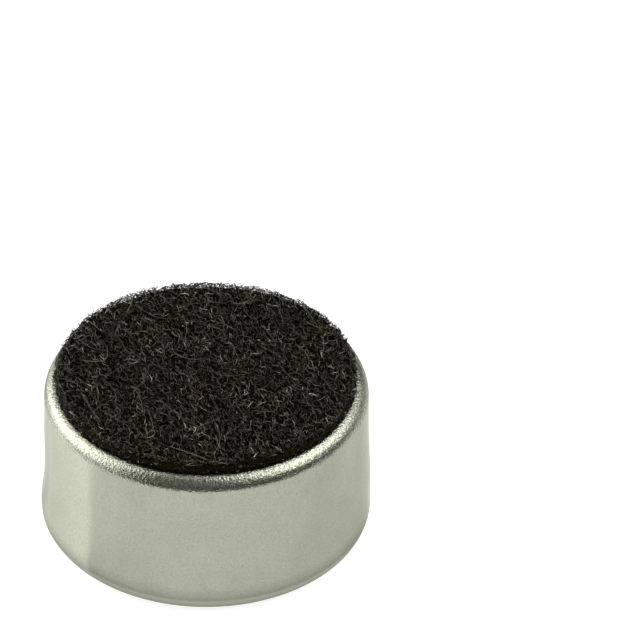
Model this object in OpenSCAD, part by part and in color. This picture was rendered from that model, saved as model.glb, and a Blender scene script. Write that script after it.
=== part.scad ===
// Electret microphone capsule: a drawn aluminium can, crimped over a small round circuit board,
// with a felt dust cover on its sound side. Sizes are in millimetres. The capsule stands on the
// crest of its crimp at z = 0, its axis is Z, and the felt faces +Z.

/* [Can] */
// Outside diameter of the can's straight wall
can_d = 9.7; // [9.4:0.1:10.4]
// Height of the can, from the crest of the crimp to the front face
can_h = 4.9; // [4.5:0.1:6.7]
// Thickness of the drawn sheet
sheet_t = 0.25; // [0.2:0.01:0.3]
// Outside radius of the front shoulder
shoulder_r = 0.45; // [0.35:0.05:0.55]
// Diameter of each sound inlet in the front face
inlet_d = 0.8; // [0.4:0.1:1]
// Pitch circle of the sound inlets round the middle one
inlet_pcd = 3.4; // [2.6:0.1:4.2]
// Number of sound inlets round the middle one
inlet_count = 6; // [3:1:6]

/* [Crimp] */
// Outside radius of the bend at the rear edge of the wall
crimp_r = 0.48; // [0.4:0.02:0.6]
// Outside radius of the return bend that lays the lip on the board
lip_r = 0.08; // [0.06:0.01:0.16]
// Width of the flat that the crest of the crimp stands on
crest_flat = 0.06; // [0.02:0.01:0.12]
// Length of the flat of the lip, which clamps the board
lip_flat = 0.06; // [0.04:0.01:0.14]
// How far the rear edge swells past the straight wall
swell = 0.06; // [0.01:0.01:0.1]
// Height over which the wall swells above the rear bend
swell_h = 1; // [0.6:0.1:1.6]
// Depth of the terminals' copper behind the crest of the crimp
recess = 0.45; // [0.42:0.01:0.54]

/* [Dust cover] */
// Diameter of the felt
felt_d = 9; // [8.7:0.1:9.2]
// Thickness of the felt
felt_t = 0.35; // [0.2:0.05:0.5]
// Radius of the felt's worn upper edge
felt_edge_r = 0.08; // [0.04:0.01:0.12]
// Thickness of the adhesive under the felt
adhesive_t = 0.05; // [0.03:0.01:0.08]
// Width of the adhesive ring
adhesive_w = 1.2; // [0.8:0.1:1.4]

/* [Diaphragm and back plate] */
// Thickness of the metal ring that carries the diaphragm
ring_t = 0.35; // [0.25:0.05:0.5]
// Width of the diaphragm ring, the spacer and the clamped edge of the film
ring_w = 0.75; // [0.65:0.05:0.9]
// Thickness of the metallised diaphragm film
film_t = 0.02; // [0.015:0.005:0.03]
// Thickness of the spacer, which sets the air gap
spacer_t = 0.05; // [0.03:0.01:0.08]
// Thickness of the charged film on the back plate
electret_t = 0.025; // [0.015:0.005:0.04]
// Thickness of the back plate
plate_t = 0.4; // [0.3:0.05:0.6]
// Diameter of the holes in the back plate
plate_hole_d = 0.7; // [0.4:0.1:0.9]
// Pitch circle of the holes in the back plate
plate_hole_pcd = 4.4; // [3.2:0.1:5.4]
// Number of holes in the back plate
plate_hole_count = 6; // [4:1:8]
// Wall of the holder beside the contact ring
holder_w = 0.75; // [0.65:0.05:0.85]
// Wall of the holder round the back plate, above the ledge that the plate sits on
holder_rim_w = 0.5; // [0.4:0.05:0.55]
// Wall of the contact ring
contact_w = 0.25; // [0.2:0.05:0.3]

/* [Circuit board] */
// Thickness of the board
board_t = 0.4; // [0.3:0.05:0.8]
// Thickness of the copper on either face
copper_t = 0.035; // [0.018:0.001:0.07]
// Diameter of the rear vents
vent_d = 0.85; // [0.6:0.05:1]
// Pitch circle of the rear vents
vent_pcd = 5.65; // [5.5:0.05:6]
// Depth of the crater round the mouth of each vent
vent_crater = 0.05; // [0.02:0.01:0.1]
// Diameter of the disc that the two terminals make together
terminal_d = 4.3; // [4:0.1:4.5]
// Width of the bare slot between the two terminals
slot_w = 0.7; // [0.5:0.05:0.9]
// Width of each ground arm, which runs out under the lip
arm_w = 0.9; // [0.6:0.05:1.1]
// Width of the neck between a ground arm and its terminal
neck_w = 0.4; // [0.3:0.05:0.55]
// Height of the solder on the terminals
solder_h = 0.34; // [0.2:0.01:0.36]
// Direction of the middle of the ground terminal, seen from the felt side
terminal_turn = 150; // [0:5:355]
// Diameter of the conductors that pass through the board
via_d = 0.4; // [0.3:0.05:0.5]
// Distance of those conductors from the middle of the board
via_at = 1.7; // [1.6:0.05:1.75]
// Thickness of the porous screen over the vents, inside the board
screen_t = 0.15; // [0.1:0.05:0.3]
// How far the screen reaches past the vents, towards the middle
screen_lap = 0.12; // [0.06:0.01:0.16]

/* [Transistor and capacitor] */
// Length of the transistor's moulding
fet_l = 2.9; // [2.6:0.1:3]
// Width of the transistor's moulding
fet_w = 1.3; // [1.1:0.1:1.4]
// Height of the transistor's moulding
fet_h = 0.95; // [0.8:0.05:1.1]
// Gap under the moulding
fet_standoff = 0.1; // [0.08:0.01:0.15]
// Width across the tips of the leads
lead_span = 2.4; // [2.2:0.05:2.5]
// Distance between the two leads that share a side
lead_pitch = 1.9; // [1.7:0.1:2]
// Width of a lead
lead_w = 0.4; // [0.3:0.05:0.5]
// Thickness of a lead
lead_t = 0.12; // [0.1:0.01:0.16]
// Length of the capacitor
cap_l = 1; // [0.9:0.05:1.1]
// Width and height of the capacitor
cap_w = 0.5; // [0.4:0.05:0.55]
// Length of each end cap on the capacitor
cap_end = 0.25; // [0.2:0.05:0.3]
// Thickness of the end caps' plating
cap_plating = 0.02; // [0.01:0.01:0.03]
// Width of the conductor tracks inside the board
track_w = 0.4; // [0.3:0.05:0.5]

/* [Hidden] */
$fn = 96;

// Slack between the pieces that are stacked in the can
slack = 0.05;
// Steps in each turned arc
arc_steps = 10;
// Longer than any cut through a wall
through = 20;

can_r = can_d / 2;
bore_r = can_r - sheet_t;

// The crimp: past its flat crest the sheet rises by crimp_turn, then the return bend lays the lip flat.
crimp_turn = acos(1 - (recess - sheet_t) / (crimp_r + lip_r));
bend_c = [can_r + swell - crimp_r, crimp_r];
rise_c = bend_c - [crest_flat, 0];
lip_c = rise_c - (crimp_r + lip_r) * [sin(crimp_turn), cos(crimp_turn)];
lip_end = lip_c[0] - lip_flat;

// Heights, from the crimp to the felt
board_out = recess + copper_t;
board_in = board_out + board_t;
tracks_in = board_in + copper_t;
front_in = can_h - sheet_t;
film_top = front_in - ring_t;
spacer_top = film_top - film_t;
electret_top = spacer_top - spacer_t;
plate_top = electret_top - electret_t;
plate_rear = plate_top - plate_t;
felt_low = can_h + adhesive_t;

// Radii of what is stacked in the can
stack_r = can_r - shoulder_r - slack;
ring_bore_r = stack_r - ring_w;
holder_r = bore_r - slack;
holder_bore_r = holder_r - holder_w;
pocket_r = holder_r - holder_rim_w;
plate_r = pocket_r - slack;
contact_r = holder_bore_r - slack;
board_r = bore_r - slack;
vent_at = vent_pcd / 2;
terminal_r = terminal_d / 2;

// The solder stops a little inside its copper, and crowns between the slot and the round edge.
solder_margin = 0.04;
solder_r = terminal_r - solder_margin;
solder_x = slot_w / 2 + solder_margin;
solder_w = solder_r - solder_x;
solder_crown = solder_h / (1 - pow(solder_r / (solder_r + solder_w), 2));

// Ground arms lie midway between the vents, and the gate track leaves on the side that has none.
arm_angles = [-60, 0, 60];
vent_angles = [30 : 60 : 330];
arm_under_lip = 0.3;
arm_end = lip_c[0] + arm_under_lip;
neck_l = 0.2;
neck_end = terminal_r + neck_l;
arm_start = neck_end + (arm_w - neck_w) / 2;
ground_via_turn = 40;
output_via_turn = 220;

// Places of the small parts, in the board's own turned frame
pad_margin = 0.08;
fillet_w = pad_margin;
lead_reach = 0.27;
lead_out = fet_w / 2 + lead_reach;
lead_shoulder = fet_standoff + (fet_h - lead_t) / 2;
cap_gap = 0.2;
cap_at = lead_span / 2 + cap_gap + cap_w / 2;

can_colour = "Gainsboro";
tin_colour = "Silver";
brass_colour = "DarkKhaki";
copper_colour = "Peru";
board_colour = "DarkGoldenrod";
film_colour = "LightSteelBlue";

// Points along an arc. The first one is left out where the stretch before it already ends there.
function arc(centre, r, from, to, skip = 0) =
    [for (i = [skip : arc_steps]) let (a = from + (to - from) * i / arc_steps)
        centre + r * [cos(a), sin(a)]];

// A flat ring or washer, standing on the height z
module washer(r_out, r_in, z, t) {
    translate([0, 0, z]) difference() {
        cylinder(r = r_out, h = t);
        translate([0, 0, -t]) cylinder(r = r_in, h = 3 * t);
    }
}

// Everything on the board shares one turned frame, with the ground terminal towards +X.
module on_board(z) {
    rotate(terminal_turn) translate([0, 0, z]) children();
}

// What is drawn here is repeated at each given angle, at a distance from the axis.
module around(angles, distance) {
    for (a = angles) rotate(a) translate([distance, 0, 0]) children();
}

// Evenly spread angles
function spread(count) = [for (i = [0 : count - 1]) 360 * i / count];

module dust_felt() {
    felt_r = felt_d / 2;
    felt_top = felt_low + felt_t;
    edge_c = [felt_r - felt_edge_r, felt_top - felt_edge_r];
    color("DarkSlateGray") rotate_extrude()
        polygon(concat([[0, felt_low], [felt_r, felt_low]], arc(edge_c, felt_edge_r, 0, 90), [[0, felt_top]]));
}

module felt_adhesive() {
    color("Beige") washer(stack_r, stack_r - adhesive_w, can_h, adhesive_t);
}

// Section of the can, as one sheet from the middle of the front face to the clamping lip and back
module can_section() {
    shoulder_c = [can_r - shoulder_r, can_h - shoulder_r];
    past_crest = -90 - crimp_turn;
    outside = concat(
        [[0, can_h]],
        arc(shoulder_c, shoulder_r, 90, 0),
        [[can_r, crimp_r + swell_h]],
        arc(bend_c, crimp_r, 0, -90),
        arc(rise_c, crimp_r, -90, past_crest),
        arc(lip_c, lip_r, 90 - crimp_turn, 90, skip = 1));
    lip_edge = arc([lip_end, recess - sheet_t / 2], sheet_t / 2, -90, -270);
    inside = concat(
        arc(lip_c, lip_r + sheet_t, 90, 90 - crimp_turn),
        arc(rise_c, crimp_r - sheet_t, past_crest, -90, skip = 1),
        arc(bend_c, crimp_r - sheet_t, -90, 0),
        [[bore_r, crimp_r + swell_h]],
        arc(shoulder_c, shoulder_r - sheet_t, 0, 90),
        [[0, front_in]]);
    polygon(concat(outside, lip_edge, inside));
}

module can() {
    color(can_colour) difference() {
        rotate_extrude() can_section();
        translate([0, 0, front_in - sheet_t]) {
            cylinder(d = inlet_d, h = 3 * sheet_t);
            around(spread(inlet_count), inlet_pcd / 2) cylinder(d = inlet_d, h = 3 * sheet_t);
        }
    }
}

module diaphragm_ring() {
    color(brass_colour) washer(stack_r, ring_bore_r, film_top, ring_t);
}

module diaphragm() {
    color(film_colour) translate([0, 0, spacer_top]) cylinder(r = stack_r, h = film_t);
}

module spacer_ring() {
    color("White") washer(stack_r, ring_bore_r, electret_top, spacer_t);
}

// A disc with the back plate's hole pattern, standing on the height z
module perforated_disc(z, t) {
    translate([0, 0, z]) difference() {
        cylinder(r = plate_r, h = t);
        translate([0, 0, -t]) around(spread(plate_hole_count), plate_hole_pcd / 2)
            cylinder(d = plate_hole_d, h = 3 * t);
    }
}

module electret_film() {
    color(film_colour) perforated_disc(plate_top, electret_t);
}

module back_plate() {
    color(brass_colour) perforated_disc(plate_rear, plate_t);
}

// Insulator between the can and the back plate, with a ledge that the plate sits on
module holder_ring() {
    color("Ivory") rotate_extrude() polygon([
        [holder_bore_r, board_in], [holder_r, board_in],
        [holder_r, electret_top], [pocket_r, electret_top],
        [pocket_r, plate_rear], [holder_bore_r, plate_rear]]);
}

module contact_ring() {
    color(brass_colour) washer(contact_r, contact_r - contact_w, tracks_in, plate_rear - tracks_in);
}

// Porous ring behind the vents, open on one side for the gate track
module vent_screen() {
    screen_r = contact_r - contact_w - 2 * slack;
    screen_bore_r = vent_at - vent_d / 2 - screen_lap;
    notch_w = track_w + 4 * slack;
    color("DimGray") difference() {
        washer(screen_r, screen_bore_r, board_in, screen_t);
        on_board(board_in - screen_t)
            translate([-screen_r - slack, -notch_w / 2, 0]) cube([screen_r, notch_w, 3 * screen_t]);
    }
}

module circuit_board() {
    color(board_colour) difference() {
        translate([0, 0, board_out]) cylinder(r = board_r, h = board_t);
        on_board(board_out) {
            around(vent_angles, vent_at) {
                translate([0, 0, -board_t]) cylinder(d = vent_d, h = 3 * board_t);
                translate([0, 0, -vent_crater])
                    cylinder(r1 = vent_d / 2 + 2 * vent_crater, r2 = vent_d / 2, h = 2 * vent_crater);
            }
            translate([0, 0, -board_t])
                around([ground_via_turn, output_via_turn], via_at) cylinder(d = via_d, h = 3 * board_t);
        }
    }
}

// Half of the terminal disc, on the +X side of the slot
module half_moon() {
    difference() {
        circle(r = terminal_r);
        translate([slot_w / 2 - through, -through / 2]) square([through, through]);
    }
}

// A ground arm along +X: a neck out of the terminal that widens to a tongue under the lip
module ground_arm() {
    neck_start = terminal_r - solder_margin;
    polygon([
        [neck_start, -neck_w / 2], [neck_end, -neck_w / 2], [arm_start, -arm_w / 2], [arm_end, -arm_w / 2],
        [arm_end, arm_w / 2], [arm_start, arm_w / 2], [neck_end, neck_w / 2], [neck_start, neck_w / 2]]);
}

module ground_terminal() {
    color(tin_colour) on_board(recess) linear_extrude(copper_t) {
        half_moon();
        for (a = arm_angles) rotate(a) ground_arm();
    }
}

module output_terminal() {
    color(tin_colour) on_board(recess) linear_extrude(copper_t) rotate(180) half_moon();
}

// Solder crowned over half of the terminal disc: a ball's crown meets a trough's crown over the slot edge.
module solder_crown() {
    ball_r = (pow(solder_r, 2) + pow(solder_crown, 2)) / (2 * solder_crown);
    roll_r = (pow(solder_w, 2) + pow(solder_crown, 2)) / (2 * solder_crown);
    mirror([0, 0, 1]) intersection() {
        translate([0, 0, solder_crown - ball_r]) sphere(r = ball_r);
        translate([solder_r, 0, solder_crown - roll_r]) rotate([90, 0, 0])
            cylinder(r = roll_r, h = through, center = true);
        translate([0, -through / 2, 0]) cube([through, through, through]);
    }
}

module ground_solder() {
    color(tin_colour) on_board(recess) solder_crown();
}

module output_solder() {
    color(tin_colour) on_board(recess) rotate(180) solder_crown();
}

// A conductor through the board, from a terminal's copper to a track
module conductor(turn) {
    color(copper_colour) on_board(board_out) rotate(turn) translate([via_at, 0, 0]) cylinder(d = via_d, h = board_t);
}

module ground_conductor() {
    conductor(ground_via_turn);
}

module output_conductor() {
    conductor(output_via_turn);
}

// Round end of a track over a conductor
module via_pad(turn) {
    rotate(turn) translate([via_at, 0]) circle(d = via_d + 2 * pad_margin);
}

// Rectangle between two opposite corners
module patch(low, high) {
    translate(low) square(high - low);
}

// Copper for one of the two leads that share a side, with the capacitor's end beside it
module paired_pads() {
    foot_low = [lead_out - lead_t - pad_margin, lead_pitch / 2 - lead_w / 2 - pad_margin];
    foot_high = [lead_span / 2 + pad_margin, lead_pitch / 2 + lead_w / 2 + pad_margin];
    end_low = [cap_at - cap_w / 2 - pad_margin, cap_l / 2 - cap_end - pad_margin / 2];
    end_high = [cap_at + cap_w / 2 + pad_margin / 2, cap_l / 2 + pad_margin];
    patch(foot_low, foot_high);
    patch(end_low, end_high);
    patch([foot_low[0], end_high[1] - track_w / 2], [end_low[0] + track_w / 2, foot_low[1] + track_w / 2]);
}

module gate_track() {
    ring_out = contact_r + slack / 2;
    ring_in = contact_r - contact_w - slack / 2;
    foot_end = lead_span / 2 + pad_margin;
    foot_w = lead_w + 2 * pad_margin;
    color(copper_colour) on_board(board_in) linear_extrude(copper_t) {
        difference() {
            circle(r = ring_out);
            circle(r = ring_in);
        }
        patch([-contact_r, -track_w / 2], [-lead_span / 2, track_w / 2]);
        patch([-foot_end, -foot_w / 2], [pad_margin + lead_t - lead_out, foot_w / 2]);
    }
}

// Runs under the transistor to the conductor of the output terminal
module drain_track() {
    via_xy = via_at * [cos(output_via_turn), sin(output_via_turn)];
    color(copper_colour) on_board(board_in) linear_extrude(copper_t) {
        mirror([0, 1]) paired_pads();
        patch([via_xy[0], via_xy[1] - track_w / 2], [lead_out, via_xy[1] + track_w / 2]);
        via_pad(output_via_turn);
    }
}

module source_track() {
    color(copper_colour) on_board(board_in) linear_extrude(copper_t) {
        paired_pads();
        via_pad(ground_via_turn);
    }
}

// Moulding with drafted sides, widest where the two mould halves met
module transistor() {
    draft = 0.06;
    parting = fet_h / 2;
    color("DimGray") on_board(tracks_in + fet_standoff) intersection() {
        rotate([90, 0, 0]) linear_extrude(fet_l, center = true) drafted(fet_w / 2, draft, parting);
        rotate([90, 0, 90]) linear_extrude(fet_w, center = true) drafted(fet_l / 2, draft, parting);
    }
}

// Section of the moulding across one direction
module drafted(half, draft, parting) {
    polygon([
        [draft - half, 0], [half - draft, 0], [half, parting],
        [half - draft, fet_h], [draft - half, fet_h], [-half, parting]]);
}

// A lead bent down from the side of the moulding to a foot on its track, reaching out along +X
module lead() {
    color(tin_colour) on_board(tracks_in) children();
}

module bent_lead() {
    rotate([90, 0, 0]) linear_extrude(lead_w, center = true) {
        patch([fet_w / 2, lead_shoulder], [lead_out, lead_shoulder + lead_t]);
        patch([lead_out - lead_t, 0], [lead_out, lead_shoulder + lead_t]);
        patch([lead_out - lead_t, 0], [lead_span / 2, lead_t]);
    }
}

module gate_lead() {
    lead() rotate(180) bent_lead();
}

module drain_lead() {
    lead() translate([0, -lead_pitch / 2, 0]) bent_lead();
}

module source_lead() {
    lead() translate([0, lead_pitch / 2, 0]) bent_lead();
}

// The ceramic is smaller than its end caps by their plating all round.
module ceramic() {
    core_w = cap_w - 2 * cap_plating;
    core_l = cap_l - 2 * cap_plating;
    translate([cap_at - core_w / 2, -core_l / 2, cap_plating]) cube([core_w, core_l, core_w]);
}

module capacitor() {
    color("Tan") on_board(tracks_in) ceramic();
}

module capacitor_ends() {
    color(tin_colour) on_board(tracks_in) difference() {
        for (side = [-1, 1])
            translate([cap_at - cap_w / 2, side * (cap_l - cap_end) / 2 - cap_end / 2, 0])
                cube([cap_w, cap_end, cap_w]);
        ceramic();
    }
}

// A solder fillet that climbs a vertical face of the given width, from the copper beside it
module fillet(climb, width) {
    rotate([90, 0, 0]) linear_extrude(width, center = true)
        polygon([[0, 0], [fillet_w, 0], [fillet_w / 3, climb / 3], [0, climb]]);
}

// Fillets at the toes of the three leads and at the two ends of the capacitor
module inner_solder() {
    color(tin_colour) on_board(tracks_in) {
        rotate(180) translate([lead_span / 2, 0, 0]) fillet(lead_t, lead_w);
        for (side = [-1, 1]) {
            translate([lead_span / 2, side * lead_pitch / 2, 0]) fillet(lead_t, lead_w);
            translate([cap_at, side * cap_l / 2, 0]) rotate(side * 90) fillet(cap_w / 2, cap_w);
        }
    }
}

dust_felt();
felt_adhesive();
can();
diaphragm_ring();
diaphragm();
spacer_ring();
electret_film();
back_plate();
holder_ring();
contact_ring();
vent_screen();
circuit_board();
ground_terminal();
output_terminal();
ground_solder();
output_solder();
ground_conductor();
output_conductor();
gate_track();
drain_track();
source_track();
transistor();
gate_lead();
drain_lead();
source_lead();
capacitor();
capacitor_ends();
inner_solder();
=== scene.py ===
import bpy
import math
import numpy as np
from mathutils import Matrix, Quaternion, Vector, noise
from mathutils.geometry import delaunay_2d_cdt


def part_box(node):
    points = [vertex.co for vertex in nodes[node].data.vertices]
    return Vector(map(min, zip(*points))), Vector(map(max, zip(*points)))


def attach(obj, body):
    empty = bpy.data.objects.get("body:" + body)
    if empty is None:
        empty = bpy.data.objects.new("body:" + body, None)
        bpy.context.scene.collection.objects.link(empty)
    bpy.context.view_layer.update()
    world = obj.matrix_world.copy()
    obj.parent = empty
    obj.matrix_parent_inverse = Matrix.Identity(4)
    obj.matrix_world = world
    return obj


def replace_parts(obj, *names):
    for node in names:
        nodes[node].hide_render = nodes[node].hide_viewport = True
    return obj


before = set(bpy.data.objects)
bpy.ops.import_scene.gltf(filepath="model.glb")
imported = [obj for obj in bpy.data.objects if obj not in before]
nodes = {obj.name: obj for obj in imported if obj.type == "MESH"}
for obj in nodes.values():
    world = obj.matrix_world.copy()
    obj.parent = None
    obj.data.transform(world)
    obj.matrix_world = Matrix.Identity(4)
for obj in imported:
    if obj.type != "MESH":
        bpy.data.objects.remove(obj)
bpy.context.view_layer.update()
scene = bpy.context.scene
mm = 0.001
print("frame loaded:", len(nodes), "nodes")


def nodeSize(node):  # reach along x, lowest and highest z of a solid, in mm
    low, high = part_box(node)
    return [round(v / mm, 3) for v in (high.x, low.z, high.z)]


# camera: place and aim in mm, worked out so that the capsule lands where the photo has it
cameraSet = {
    "lens": 447.2, "sensor": 36, "clip": (0.005, 20),
    "place": (0.0, -188.004, 149.18), "aim": (3.439, 3.568, 4.497), "roll": 0.3,
}


def makeCamera():
    data = bpy.data.cameras.new("photoCamera")
    data.lens = cameraSet["lens"]
    data.sensor_width = cameraSet["sensor"]
    data.clip_start, data.clip_end = cameraSet["clip"]
    camera = bpy.data.objects.new("photoCamera", data)
    scene.collection.objects.link(camera)
    stand = Vector(cameraSet["place"]) * mm
    aim = Vector(cameraSet["aim"]) * mm
    camera.location = stand
    camera.rotation_mode = "QUATERNION"
    level = (aim - stand).to_track_quat("-Z", "Y")
    camera.rotation_quaternion = level @ Quaternion((0, 0, 1), math.radians(cameraSet["roll"]))
    scene.camera = camera


makeCamera()
scene.view_settings.view_transform = "Standard"
print("camera set")


# node helpers shared by every finish
middleTones = (0.3, 0.7)  # where most of a cloud's values lie


def startFinish(name):
    finish = bpy.data.materials.new(name)
    finish.use_nodes = True
    tree = finish.node_tree
    tree.nodes.clear()
    out = tree.nodes.new("ShaderNodeOutputMaterial")
    surface = tree.nodes.new("ShaderNodeBsdfPrincipled")
    tree.links.new(surface.outputs["BSDF"], out.inputs["Surface"])
    return finish, tree, surface


def place(tree, scale=(1, 1, 1)):  # object space, which is the part's own frame in metres
    coord = tree.nodes.new("ShaderNodeTexCoord")
    mapping = tree.nodes.new("ShaderNodeMapping")
    mapping.inputs["Scale"].default_value = scale
    tree.links.new(coord.outputs["Object"], mapping.inputs["Vector"])
    return mapping.outputs["Vector"]


def cloud(tree, vector, perMm, detail=3.0, rough=0.55):
    tex = tree.nodes.new("ShaderNodeTexNoise")
    tex.inputs["Scale"].default_value = perMm / mm
    tex.inputs["Detail"].default_value = detail
    tex.inputs["Roughness"].default_value = rough
    tree.links.new(vector, tex.inputs["Vector"])
    return tex.outputs["Fac"]


def cells(tree, vector, perMm):
    tex = tree.nodes.new("ShaderNodeTexVoronoi")
    tex.inputs["Scale"].default_value = perMm / mm
    tree.links.new(vector, tex.inputs["Vector"])
    return tex.outputs["Distance"]


def ranged(tree, value, fromLow, fromHigh, toLow=0.0, toHigh=1.0, smooth=True):
    node = tree.nodes.new("ShaderNodeMapRange")
    node.interpolation_type = "SMOOTHSTEP" if smooth else "LINEAR"
    node.inputs["From Min"].default_value = fromLow
    node.inputs["From Max"].default_value = fromHigh
    node.inputs["To Min"].default_value = toLow
    node.inputs["To Max"].default_value = toHigh
    tree.links.new(value, node.inputs["Value"])
    return node.outputs["Result"]


def eased(tree, length, span, toLow=0.0, toHigh=1.0):  # changes over a span given in mm
    return ranged(tree, length, span[0] * mm, span[1] * mm, toLow, toHigh)


def sums(tree, kind, a, b):
    node = tree.nodes.new("ShaderNodeMath")
    node.operation = kind
    for socket, value in zip(node.inputs, (a, b)):
        if isinstance(value, (int, float)):
            socket.default_value = value
        else:
            tree.links.new(value, socket)
    return node.outputs["Value"]


def plus(tree, total, *others):
    for value in others:
        total = sums(tree, "ADD", total, value)
    return total


def minus(tree, a, b):
    return sums(tree, "SUBTRACT", a, b)


def times(tree, total, *others):
    for value in others:
        total = sums(tree, "MULTIPLY", total, value)
    return total


def distance(tree, x, y):
    return sums(tree, "SQRT", plus(tree, times(tree, x, x), times(tree, y, y)), 0.0)


def tones(tree, value, stops):
    ramp = tree.nodes.new("ShaderNodeValToRGB")
    band = ramp.color_ramp
    while len(band.elements) < len(stops):
        band.elements.new(0.5)
    for element, (at, colour) in zip(band.elements, stops):
        element.position = at
        element.color = (*colour, 1)
    tree.links.new(value, ramp.inputs["Fac"])
    return ramp.outputs["Color"]


def blendTones(tree, amount, low, high):
    node = tree.nodes.new("ShaderNodeMix")
    node.data_type = "RGBA"
    tree.links.new(amount, node.inputs["Factor"])
    for socket, value in ((node.inputs[6], low), (node.inputs[7], high)):
        if isinstance(value, tuple):
            socket.default_value = (*value, 1)
        else:
            tree.links.new(value, socket)
    return node.outputs[2]


def relief(tree, height, depth, after=None):  # depth in mm for a height of one
    bump = tree.nodes.new("ShaderNodeBump")
    bump.inputs["Strength"].default_value = 1.0
    bump.inputs["Distance"].default_value = depth * mm
    tree.links.new(height, bump.inputs["Height"])
    if after is not None:
        tree.links.new(after, bump.inputs["Normal"])
    return bump.outputs["Normal"]


def axes(tree):  # x, y, z of the part's frame, in metres
    split = tree.nodes.new("ShaderNodeSeparateXYZ")
    tree.links.new(place(tree), split.inputs["Vector"])
    return split.outputs["X"], split.outputs["Y"], split.outputs["Z"]


def axisDistance(tree):
    x, y, z = axes(tree)
    return distance(tree, x, y), z


# mesh helpers
def newPiece(name, points, faces, finish, smooth=True):
    points = np.asarray(points, np.float32)
    if isinstance(faces, np.ndarray):  # all with as many corners
        sizes = np.full(len(faces), faces.shape[1], np.int32)
        corners = faces.ravel()
    else:
        sizes = np.array([len(f) for f in faces], np.int32)
        corners = np.concatenate([np.asarray(f, np.int32) for f in faces])
    mesh = bpy.data.meshes.new(name)
    mesh.vertices.add(len(points))
    mesh.vertices.foreach_set("co", points.ravel())
    mesh.loops.add(len(corners))
    mesh.loops.foreach_set("vertex_index", corners.astype(np.int32))
    mesh.polygons.add(len(sizes))
    mesh.polygons.foreach_set("loop_start", np.concatenate([[0], np.cumsum(sizes)[:-1]]).astype(np.int32))
    mesh.update(calc_edges=True)
    mesh.validate()
    if smooth:
        mesh.shade_smooth()
    piece = bpy.data.objects.new(name, mesh)
    scene.collection.objects.link(piece)
    mesh.materials.append(finish)
    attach(piece, "root")
    return piece


def arc(centre, r, start, end, steps, skip=0):
    turn = np.radians(np.linspace(start, end, steps + 1))[skip:]
    return [(centre[0] + r * math.cos(a), centre[1] + r * math.sin(a)) for a in turn]


def turned(profile, segments):  # an open profile of (r, z), turned about the axis
    ring = np.linspace(0, 2 * np.pi, segments, endpoint=False)
    r = np.array([p[0] for p in profile])[:, None]
    z = np.array([p[1] for p in profile])[:, None]
    points = np.stack([r * np.cos(ring), r * np.sin(ring), z + 0 * ring], -1).reshape(-1, 3)
    row = np.arange(segments)
    after = (row + 1) % segments
    quads = []
    for i in range(len(profile) - 1):
        low, high = i * segments, (i + 1) * segments
        quads.append(np.stack([low + row, high + row, high + after, low + after], -1))
    return points, np.concatenate(quads)


def polar(r, degrees):
    turn = math.radians(degrees)
    return r * math.cos(turn), r * math.sin(turn)


def ringPoints(x, y, r, count):
    turns = [2 * math.pi * i / count for i in range(count)]
    return [(x + r * math.cos(a), y + r * math.sin(a)) for a in turns]


def holedFace(edge, holes, loose=()):  # flat face in edge and out of every round hole: points and triangles
    nearest, slack = 1e-7, 0.998  # closer points are one; share of a hole's radius that is open
    points = list(edge)
    lines = [(i, (i + 1) % len(edge)) for i in range(len(edge))]
    centres = []
    for ring in holes:
        first = len(points)
        points += ring
        lines += [(first + i, first + (i + 1) % len(ring)) for i in range(len(ring))]
        middle = np.mean(ring, axis=0)
        centres.append((middle, np.hypot(*(np.array(ring[0]) - middle))))
    points += list(loose)
    flat, _, faces, *_ = delaunay_2d_cdt([Vector(p) for p in points], lines, [], 0, nearest)
    flat = np.array([tuple(p) for p in flat])
    kept = []
    for face in faces:
        middle = flat[list(face)].mean(axis=0)
        if all(np.hypot(*(middle - c)) > r * slack for c, r in centres):
            kept.append(tuple(face))
    return flat, kept


# the can: one drawn sheet, turned from the same bends as the solid, in mm
canReach, _, canTop = nodeSize("can")
canForm = {
    "height": canTop, "sheet": 0.25, "shoulder": 0.45, "swell": 0.06, "swellHeight": 1.0,
    "crimp": 0.48, "lipBend": 0.08, "crest": 0.06, "lipFlat": 0.06, "recess": 0.45,
    "inlet": 0.4, "inletRing": 1.7, "inlets": 6, "segments": 512, "inletSteps": 40,
    "steps": {
        "shoulder": 26, "wall": 9, "flare": 11, "crimp": 18, "rise": 12, "lip": 8, "edge": 10, "inside": 10,
    },
    # crimping pushed the soft wall out: how far, at what height, and how wide above and below it
    "bulgeLeft": ((0.080, 0.70, 1.05, 0.70), (0.020, 3.1, 0.7, 0.7)),
    "bulgeRest": ((0.058, 1.50, 1.30, 0.60),),
    "leftness": 3, "firmRim": 0.4, "wallFrom": 4.3,
}
canForm["radius"] = round(canReach - canForm["swell"], 3)
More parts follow.
